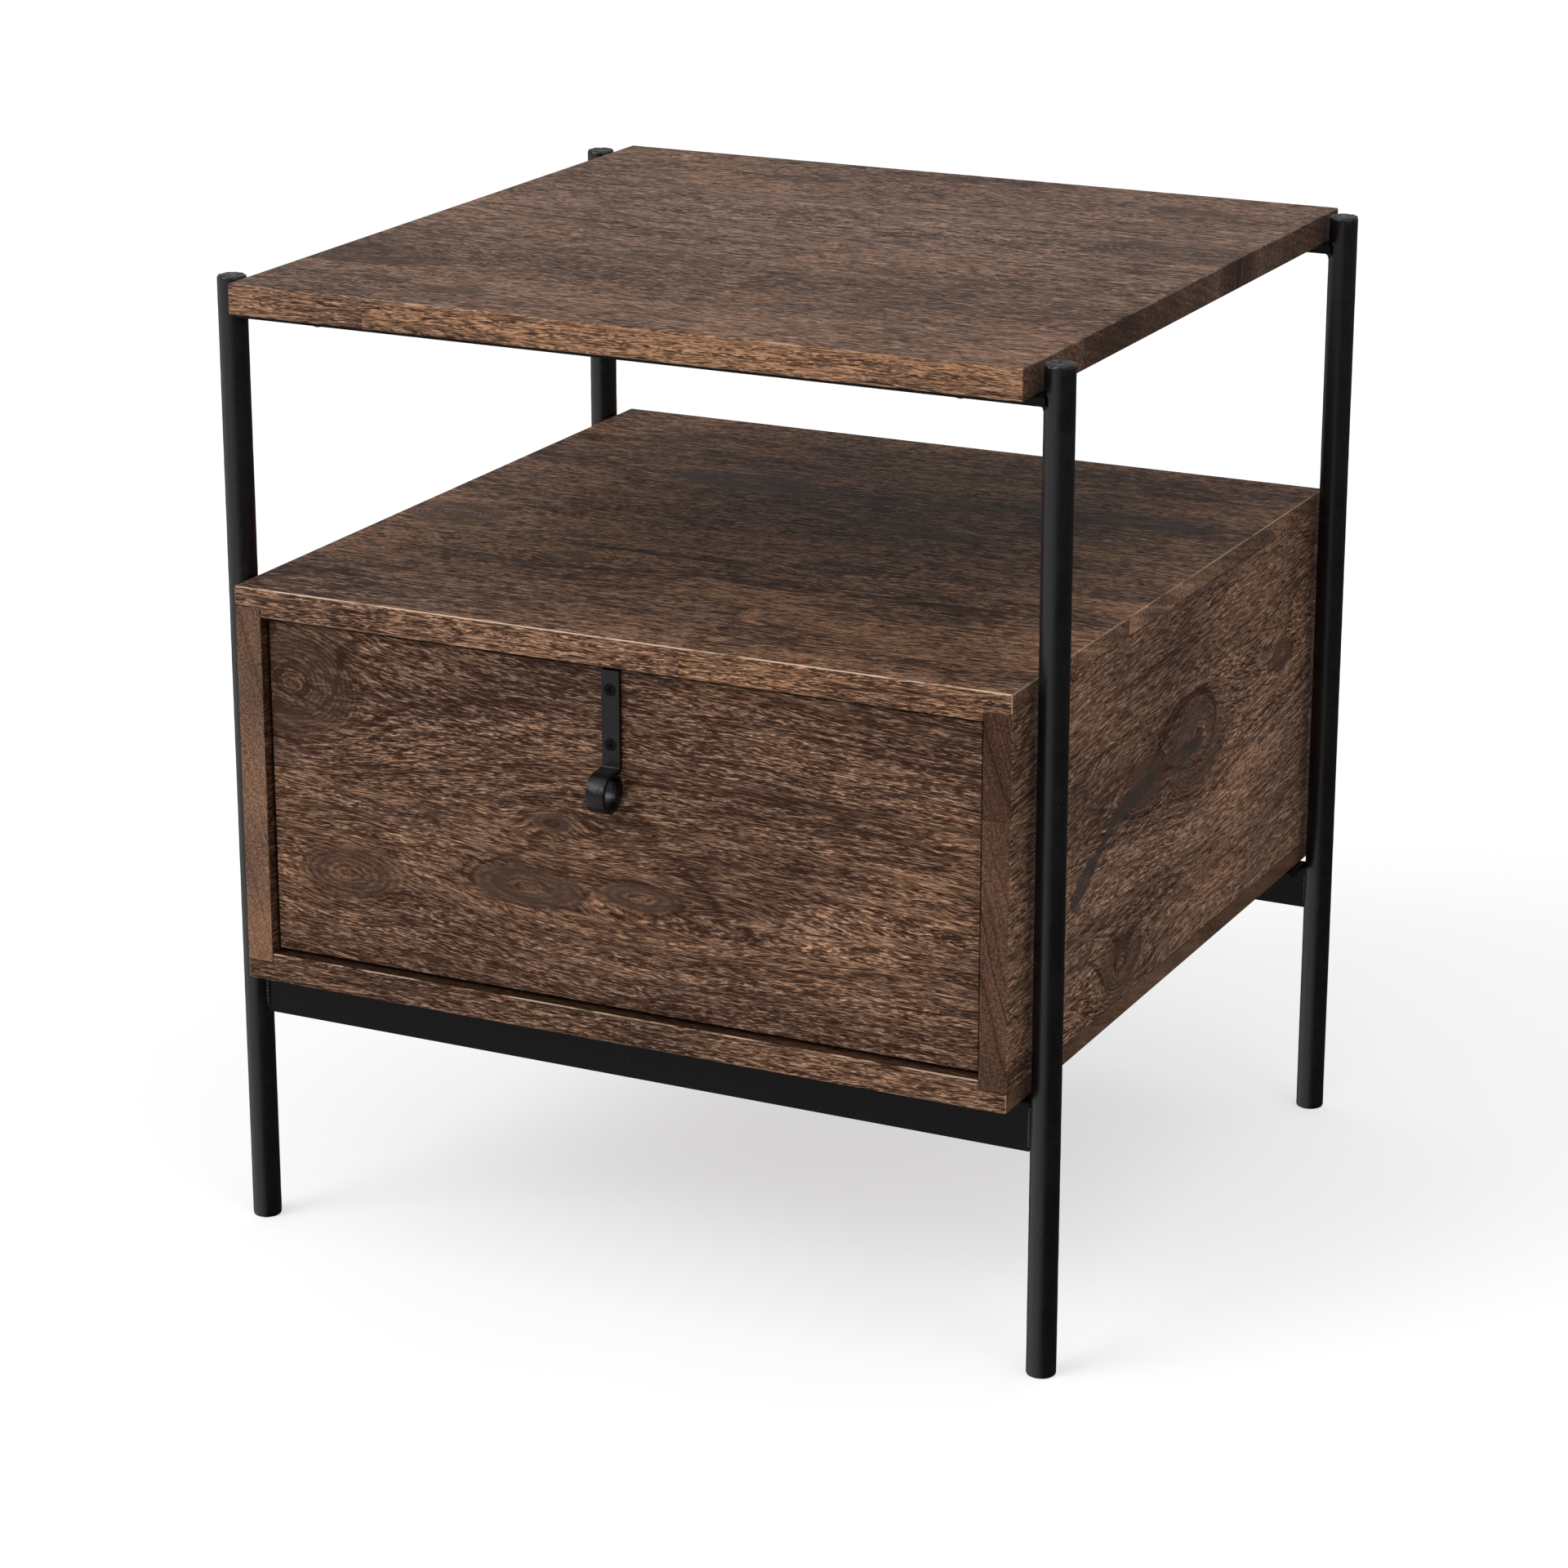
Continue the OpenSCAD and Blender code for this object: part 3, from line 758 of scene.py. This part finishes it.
# Its unevenness, as a share of its size, in lumps of this many leg radii, and the depth and
# size of the ripples on its face.
FILLET_SWELL = 0.16
FILLET_SWELL_SIZE = 0.22
FILLET_RIPPLE = 0.10 * MM
FILLET_RIPPLE_SIZE = 1.4 * MM
# How deep the weld's root sits in the metal.
WELD_ROOT = 0.4 * MM
# The beads along the case rails' ends: radius, sides, and length of a step along them.
BEAD = 1.9 * MM
BEAD_SIDES = 14
BEAD_STEP = 0.45 * MM
BEAD_MIN_STEPS = 6
# How blunt a bead's ends are, and the share of its radius at the very end.
BEAD_BLUNTNESS = 5
BEAD_TIP = 0.02
# Its ripples and its unevenness, as shares of its radius, and their lengths.
BEAD_RIPPLE = 0.08
BEAD_RIPPLE_LENGTH = 2.4 * MM
BEAD_SWELL = 0.22
BEAD_SWELL_SIZE = 2.1 * MM
# How far a bead's line stands past the rail's end, how far an outer and an inner bead sink
# into the rail's sides, and how short of its foot and its other flange they stop.
BEAD_PAST_END = 0.4 * MM
OUTER_SINK = 0.5 * MM
INNER_SINK = 0.3 * MM
BEAD_FOOT_GAP = 1.2 * MM
BEAD_TOP_GAP = 0.8 * MM
RAIL_THICK = 3 * MM


def lumps(place, size, seed):
    """Noise from -1 to 1 at a place, with lumps of the given size."""
    return noise.noise(place / size + Vector((seed, seed * 1.7, seed * 0.6)))


def clamp(value):
    """The value, kept between 0 and 1."""
    return min(max(value, 0.0), 1.0)


def new_piece(name, form, material):
    """Turns a bmesh into a smooth piece of the iron frame."""
    bmesh.ops.recalc_face_normals(form, faces=form.faces)
    mesh = bpy.data.meshes.new(name)
    form.to_mesh(mesh)
    form.free()
    mesh.materials.append(material)
    for face in mesh.polygons:
        face.use_smooth = True
    piece = add_object(name, mesh)
    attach(piece, "frame")
    return piece


def skin(form, rings):
    """A closed form with faces between rings of points, each ring closed on itself."""
    loops = [[form.verts.new(place) for place in ring] for ring in rings]
    count = len(loops[0])
    for one, two in zip(loops, loops[1:]):
        for i in range(count):
            j = (i + 1) % count
            form.faces.new((one[i], one[j], two[j], two[i]))
    form.faces.new(reversed(loops[0]))
    form.faces.new(loops[-1])


def leg_levels(bottom, top):
    """Share of the radius, height and zone of each ring of a leg, from its foot up."""
    rounded = END_ROUNDING[-1][1]
    shaft = top - bottom - 2 * rounded
    count = round(shaft / LEG_RING_PITCH)
    levels = [(share, bottom + gap, "foot") for share, gap in END_ROUNDING]
    levels += [(1.0, bottom + rounded + shaft * i / count, "shaft") for i in range(1, count)]
    levels += [(share, top - gap, "top") for share, gap in reversed(END_ROUNDING)]
    return levels


def mark_leg(place, out, share, zone, end_gap, seed):
    """Presses a point of a leg in, by its dents and by the marks near its ends."""
    large, small = LEG_DENT_SIZES
    dent = 0.5 + 0.35 * lumps(place, large, seed) + 0.25 * lumps(place, small, seed)
    place = place - out * (clamp(dent) * LEG_DENT * share)
    near = 1.0 - min(end_gap / END_ZONE, 1.0)
    if zone == "top":
        large, small = TOP_MARK_SIZES
        chip = clamp(lumps(place, large, seed) + 0.4 * lumps(place, small, seed) + 0.15)
        place.z -= chip * TOP_DENT * near
        place -= out * (chip * TOP_NOTCH * near * share)
    elif zone == "foot":
        chip = clamp(lumps(place, FOOT_MARK_SIZE, seed))
        place.z += chip * FOOT_DENT * near
    return place


def make_leg(node, material, seed):
    """A leg cut from round bar, with a rough top end and lightly dented sides."""
    low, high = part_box(node)
    centre = (low + high) / 2
    radius = (high.x - low.x) / 2
    rings = []
    for share, z, zone in leg_levels(low.z, high.z):
        end_gap = high.z - z if zone == "top" else z - low.z
        ring = []
        for i in range(LEG_SIDES):
            turn = math.tau * i / LEG_SIDES
            out = Vector((math.cos(turn), math.sin(turn), 0.0))
            place = Vector((centre.x, centre.y, z)) + out * (radius * max(share, CENTRE_SHARE))
            ring.append(mark_leg(place, out, share, zone, end_gap, seed))
        rings.append(ring)
    form = bmesh.new()
    skin(form, rings)
    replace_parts(new_piece(node + "_rod", form, material), node)


def fillet_curve(root, out, size, seed):
    """The hollow face of a fillet, from its edge under the bar to its edge on the leg."""
    face = []
    for k in range(FILLET_CURVE + 1):
        bend = math.pi / 2 * k / FILLET_CURVE
        across = size * (1 - math.sin(bend)) + WELD_ROOT
        down = size * (1 - math.cos(bend)) + WELD_ROOT
        place = root + out * across - Vector((0, 0, down))
        ripple = FILLET_RIPPLE * lumps(place, FILLET_RIPPLE_SIZE, seed) * min(size / FILLET, 1.0)
        face.append(place + (out - Vector((0, 0, 1))).normalized() * ripple)
    return face


def add_fillet(form, leg, bar, seed):
    """The weld under a top bar, a hollow collar round the inner half of its leg."""
    low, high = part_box(leg)
    centre = (low + high) / 2
    radius = (high.x - low.x) / 2
    corner = Vector((centre.x, centre.y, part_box(bar)[0].z + WELD_ROOT))
    inward = -1.0 if centre.x > 0 else 1.0
    rings = []
    for i in range(FILLET_STEPS + 1):
        share = 2.0 * i / FILLET_STEPS - 1.0
        turn = share * FILLET_REACH
        out = Vector((inward * math.cos(turn), math.sin(turn), 0.0))
        taper = math.sqrt(max(1.0 - share * share, 0.0)) * (1 - FILLET_THINNING * abs(share))
        swell = 1.0 + FILLET_SWELL * lumps(out, FILLET_SWELL_SIZE, seed)
        size = (FILLET * taper + FILLET_LEAST) * swell
        root = corner + out * (radius - WELD_ROOT)
        rings.append([root] + fillet_curve(root, out, size, seed))
    skin(form, rings)


def add_bead(form, start, end, seed):
    """A lumpy weld bead from start to end, closing bluntly at both ends."""
    run = end - start
    side = run.orthogonal().normalized()
    other = run.normalized().cross(side)
    steps = max(int(run.length / BEAD_STEP), BEAD_MIN_STEPS)
    rings = []
    for i in range(steps + 1):
        share = i / steps
        taper = math.sqrt(max(1.0 - abs(2 * share - 1) ** BEAD_BLUNTNESS, 0.0)) + BEAD_TIP
        turns = share * run.length / BEAD_RIPPLE_LENGTH
        wave = 1.0 - BEAD_RIPPLE + BEAD_RIPPLE * math.cos(turns * math.tau)
        ring = []
        for k in range(BEAD_SIDES):
            turn = math.tau * k / BEAD_SIDES
            out = side * math.cos(turn) + other * math.sin(turn)
            place = start + run * share + out * BEAD
            swell = 1.0 + BEAD_SWELL * lumps(place, BEAD_SWELL_SIZE, seed)
            ring.append(start + run * share + out * (BEAD * taper * wave * swell))
        rings.append(ring)
    skin(form, rings)


def make_top_welds(material):
    form = bmesh.new()
    for number, leg in enumerate(LEGS):
        bar = "top_bar_front" if "front" in leg else "top_bar_rear"
        add_fillet(form, leg, bar, 3.0 + number * 4.0)
    new_piece("top_bar_welds", form, material)


def make_rail_welds(material):
    """Beads that join the case rails' upright sides to the legs, outside and inside."""
    form = bmesh.new()
    for number, leg in enumerate(LEGS):
        front = "front" in leg
        low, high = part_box("case_rail_front" if front else "case_rail_rear")
        inward = 1.0 if front else -1.0
        outer = low.y if front else high.y
        inner = outer + inward * RAIL_THICK
        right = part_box(leg)[0].x > 0
        x = high.x + BEAD_PAST_END if right else low.x - BEAD_PAST_END
        for y in (outer + inward * OUTER_SINK, inner - inward * INNER_SINK):
            start = Vector((x, y, low.z + BEAD_FOOT_GAP))
            end = Vector((x, y, high.z - RAIL_THICK - BEAD_TOP_GAP))
            add_bead(form, start, end, 20.0 + number * 5.0)
    new_piece("rail_welds", form, material)


# ---------------------------------------------------------------------------
# Parts
# ---------------------------------------------------------------------------
# Finish of the wood inside: unstained and quiet.
QUIET = {"palette": PLAIN, "wear_and_highlight": 0.0, "contrast": 0.6, "bold": 0.7, "pored": 0.5}
# Radius of the sanded edges of the wooden parts, and of the iron strap's edges.
EASED = {
    "tabletop": 0.9 * MM,
    "case_top": 0.9 * MM,
    "case_bottom": 0.9 * MM,
    "case_left_side": 0.9 * MM,
    "case_right_side": 0.9 * MM,
    "drawer_front": 0.7 * MM,
    "drawer_left_side": 1.0 * MM,
    "drawer_right_side": 1.0 * MM,
    "drawer_box_front": 1.0 * MM,
    "drawer_box_back": 1.0 * MM,
    "pull_strap": 0.45 * MM,
}
# The same for the thin back panel.
BACK_EASED = 0.3 * MM
# Points this close are one point, faces that turn less than this are one face, and an edge
# has to turn this much to be rounded.
SAME_POINT = 0.01 * MM
FLAT_TURN = math.radians(0.5)
SHARP_TURN = math.radians(35)


def dress(node, material):
    """Gives a CAD node one material."""
    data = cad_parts[node].data
    data.materials.clear()
    data.materials.append(material)


def dress_board(board, look, knots=(), streaks=()):
    dress(board.node, wood(board, look, knots, streaks))


def ease_edges(node, radius, segments=3):
    """Rounds a node's sharp edges over, as sanding does."""
    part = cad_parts[node]
    weld = part.modifiers.new("weld", "WELD")
    weld.merge_threshold = SAME_POINT
    flat = part.modifiers.new("flat", "DECIMATE")
    flat.decimate_type = "DISSOLVE"
    flat.angle_limit = FLAT_TURN
    bevel = part.modifiers.new("eased", "BEVEL")
    bevel.width = radius
    bevel.segments = segments
    bevel.limit_method = "ANGLE"
    bevel.angle_limit = SHARP_TURN
    bevel.harden_normals = True


def dress_tabletop():
    butts = ((0.18, 0.0, 40.0), (0.35, 0.9, 41.0))
    board = Board("tabletop", 0, 1, (0.17, 0.34, 0.51, 0.80), butts)
    look = Look(seed=3.0, red=0.12, rim=0.19, haze=0.14, wear_and_highlight=0.45, contrast=1.55, bold=1.35,
                shade=0.84, drink=0.25)
    knots = (
        Knot(0.32, 0.88, 30, 7, dark=0.4),
        Knot(0.85, 0.89, 30, 9, dark=0.4),
        Knot(0.92, 0.65, 60, 26, dark=0.0),
        Knot(0.04, 0.22, 55, 26, dark=0.1),
        Knot(0.25, 0.08, 26, 8, dark=0.3),
    )
    dress_board(board, look, knots)


def dress_case_top():
    butts = ((0.59, 0.0, 25.0),)
    board = Board("case_top", 0, 1, (0.18, 0.34, 0.55, 0.82), butts)
    # A strong, nearly unbroken pale front arris: rubbed stain and painted highlight.
    look = Look(seed=30.0, slope=-0.03, rim=0.03, haze=0.10, wear_and_highlight=0.95, rubbing=(0.30, 0.50),
                contrast=1.9, bold=2.3, shade=0.94, inner=-1)
    knots = (
        Knot(0.29, 0.29, 20, 12),
        Knot(0.065, 0.41, 35, 24, dark=0.3),
        Knot(0.32, 0.71, 50, 17),
        Knot(0.60, 0.57, 46, 17, dark=0.0),
        Knot(0.60, 0.38, 22, 10, dark=0.0),
        Knot(0.86, 0.735, 35, 9),
    )
    dress_board(board, look, knots)


def dress_case_bottom():
    board = Board("case_bottom", 0, 1, (0.2, 0.37, 0.6, 0.8))
    dress_board(board, Look(seed=23.0, wear_and_highlight=0.8, rubbing=(0.40, 0.58), shade=0.80, inner=1))


def dress_left_side():
    board = Board("case_left_side", 1, 2, (0.34, 0.7))
    look = Look(seed=31.0, slope=0.04, shade=0.98, wear_and_highlight=0.1, drink=0.0, inner=1)
    knots = (Knot(0.30, 0.52, 40, 16), Knot(0.72, 0.20, 28, 12))
    dress_board(board, look, knots)


def dress_right_side():
    board = Board("case_right_side", 1, 2, (0.72,))
    look = Look(seed=50.0, slope=-0.04, figure=24 * MM, red=0.45, pored=0.85, lined=1.1,
                shade=0.94, wear_and_highlight=0.1, rings=170.0, drink=0.22, contrast=0.9, bold=0.9,
                haze=0.06, inner=-1)
    knots = (
        Knot(0.41, 0.56, 30, 16, dark=0.8),
        Knot(0.57, 0.56, 46, 30, dark=0.6, calm=0.8),
        Knot(0.865, 0.64, 16, 10, dark=0.8),
        Knot(0.335, 0.09, 30, 18, dark=0.5),
    )
    # Bark streaks: from, to, and half width in millimetres.
    streaks = (
        ((0.19, 0.38), (0.24, 0.44), 6.5),
        ((0.24, 0.44), (0.31, 0.52), 4.5),
        ((0.31, 0.52), (0.42, 0.56), 6.0),
        ((0.42, 0.57), (0.56, 0.58), 1.6),
        ((0.53, 0.56), (0.58, 0.56), 5.5),
    )
    dress_board(board, look, knots, streaks)


def dress_case_back():
    dress_board(Board("case_back", 0, 2), Look(seed=83.0, shade=0.55, **QUIET))


def dress_drawer_front():
    board = Board("drawer_front", 0, 2, (0.56,))
    look = Look(seed=59.0, slope=0.05, red=0.55, wear_and_highlight=0.12, lined=1.1, rings=230.0, shade=0.89)
    knots = (
        Knot(0.374, 0.32, 38, 12, dark=0.75),
        Knot(0.535, 0.34, 27, 9, dark=0.75),
        Knot(0.47, 0.30, 115, 20, dark=0.0, calm=0.35),
        Knot(0.11, 0.27, 34, 15, dark=0.4),
        Knot(0.03, 0.82, 42, 32, dark=0.35, calm=0.8),
        Knot(0.41, 0.52, 14, 6, dark=0.7),
    )
    dress_board(board, look, knots)


def dress_drawer_box():
    for number, node in enumerate(("drawer_left_side", "drawer_right_side")):
        dress_board(Board(node, 1, 2), Look(seed=67.0 + number, **QUIET))
    for number, node in enumerate(("drawer_box_front", "drawer_box_back")):
        dress_board(Board(node, 0, 2), Look(seed=71.0 + number, **QUIET))
    dress_board(Board("drawer_bottom", 1, 0), Look(seed=79.0, **QUIET))


def make_frame():
    """Legs and welds in place of the plain legs, and the finish of the bars."""
    iron = black_iron("black_iron")
    for number, leg in enumerate(LEGS):
        make_leg(leg, iron, 2.0 + number * 7.0)
    make_top_welds(iron)
    make_rail_welds(iron)
    flat_iron = black_iron("flat_iron", shine=0.12)
    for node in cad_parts:
        if node.startswith(("top_bar", "case_rail")):
            dress(node, flat_iron)


def dress_pull():
    forged = black_iron("pull_iron", PULL_BLACK, gloss=0.29, shine=0.28, dents=5.0, scale=1.3)
    dress("pull_strap", forged)


def dress_fittings():
    """Black screws in the frame's bars and the pull, and zinc on the runners and other screws."""
    black = black_iron("black_screws", SCREW_BLACK, gloss=0.20, shine=0.10, dents=0.6, scale=2.0)
    steel = zinc("zinc_steel")
    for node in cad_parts:
        if node in ("tabletop_screws", "case_screws", "pull_screws"):
            dress(node, black)
        elif node.startswith(("runner_", "outer_", "inner_")) or node.endswith("_screws"):
            dress(node, steel)


# ---------------------------------------------------------------------------
# Studio
# ---------------------------------------------------------------------------
# Half width of the floor, in metres, its two faint tints, and its own glow.
FLOOR_REACH = 30.0
FLOOR_DARK = (0.44, 0.44, 0.44)
FLOOR_PALE = (0.45, 0.45, 0.45)
FLOOR_GLOW = 0.56
WHITE = (1.0, 1.0, 1.0, 1.0)
# Brightness of the room all round, and below the table's level, where only gloss sees it:
# a low soft panel on one side and dark on the other.
SKY = 0.50
LOW_DARK = 0.04
LOW_PANEL = 0.95
LOW_PANEL_AZIMUTH = -48
# Wide soft lights: name, azimuth, elevation and spread in degrees, and power.
SUNS = (
    ("overhead", -10, 74, 80, 1.20),
    ("key", -36, 32, 36, 1.45),
    ("fill", 60, 30, 30, 0.35),
)
SUN_DISTANCE = 3.0


def make_floor():
    mesh = bpy.data.meshes.new("floor")
    form = bmesh.new()
    bmesh.ops.create_grid(form, x_segments=4, y_segments=4, size=FLOOR_REACH)
    form.to_mesh(mesh)
    form.free()
    p = Pattern("pale_floor")
    tint = p.noise(p.point(*p.axes()), 3.0).step(0.3, 0.7)
    mesh.materials.append(p.finish(tint.colour(FLOOR_DARK, FLOOR_PALE), 0.9, 0.0))
    p.shader.inputs["Emission Color"].default_value = WHITE
    p.shader.inputs["Emission Strength"].default_value = FLOOR_GLOW
    floor = add_object("floor", mesh)
    floor.visible_glossy = False


def make_suns():
    middle = (cad_low + cad_high) / 2
    for name, azimuth, elevation, spread, power in SUNS:
        lamp = bpy.data.lights.new(name, "SUN")
        lamp.angle = math.radians(spread)
        lamp.energy = power
        place = middle + direction(azimuth, elevation) * SUN_DISTANCE
        look_at(add_object(name, lamp), place, middle)


def make_room():
    """The even light of the room, with the low panel that the iron reflects."""
    world = bpy.data.worlds.new("studio")
    bpy.context.scene.world = world
    world.use_nodes = True
    tree = world.node_tree
    way = tree.nodes.new("ShaderNodeTexCoord")
    split = tree.nodes.new("ShaderNodeSeparateXYZ")
    tree.links.new(way.outputs["Generated"], split.inputs[0])
    x, y, z = (Field(tree, socket) for socket in split.outputs)
    panel = direction(LOW_PANEL_AZIMUTH, 0)
    low = (x * panel.x + y * panel.y).step(0.10, 0.90, LOW_DARK, LOW_PANEL)
    sky = tree.nodes["Background"]
    sky.inputs["Color"].default_value = WHITE
    feed(tree, sky.inputs["Strength"], z.step(-0.16, -0.06).blend(low, SKY))
    bpy.context.scene.view_settings.view_transform = "Standard"
    bpy.context.scene.view_settings.look = "None"


make_camera()
make_floor()
make_room()
make_suns()
dress_tabletop()
dress_case_top()
dress_case_bottom()
dress_left_side()
dress_right_side()
dress_case_back()
dress_drawer_front()
dress_drawer_box()
make_frame()
dress_pull()
dress_fittings()
for eased_node, eased_radius in EASED.items():
    ease_edges(eased_node, eased_radius)
ease_edges("case_back", BACK_EASED, segments=2)
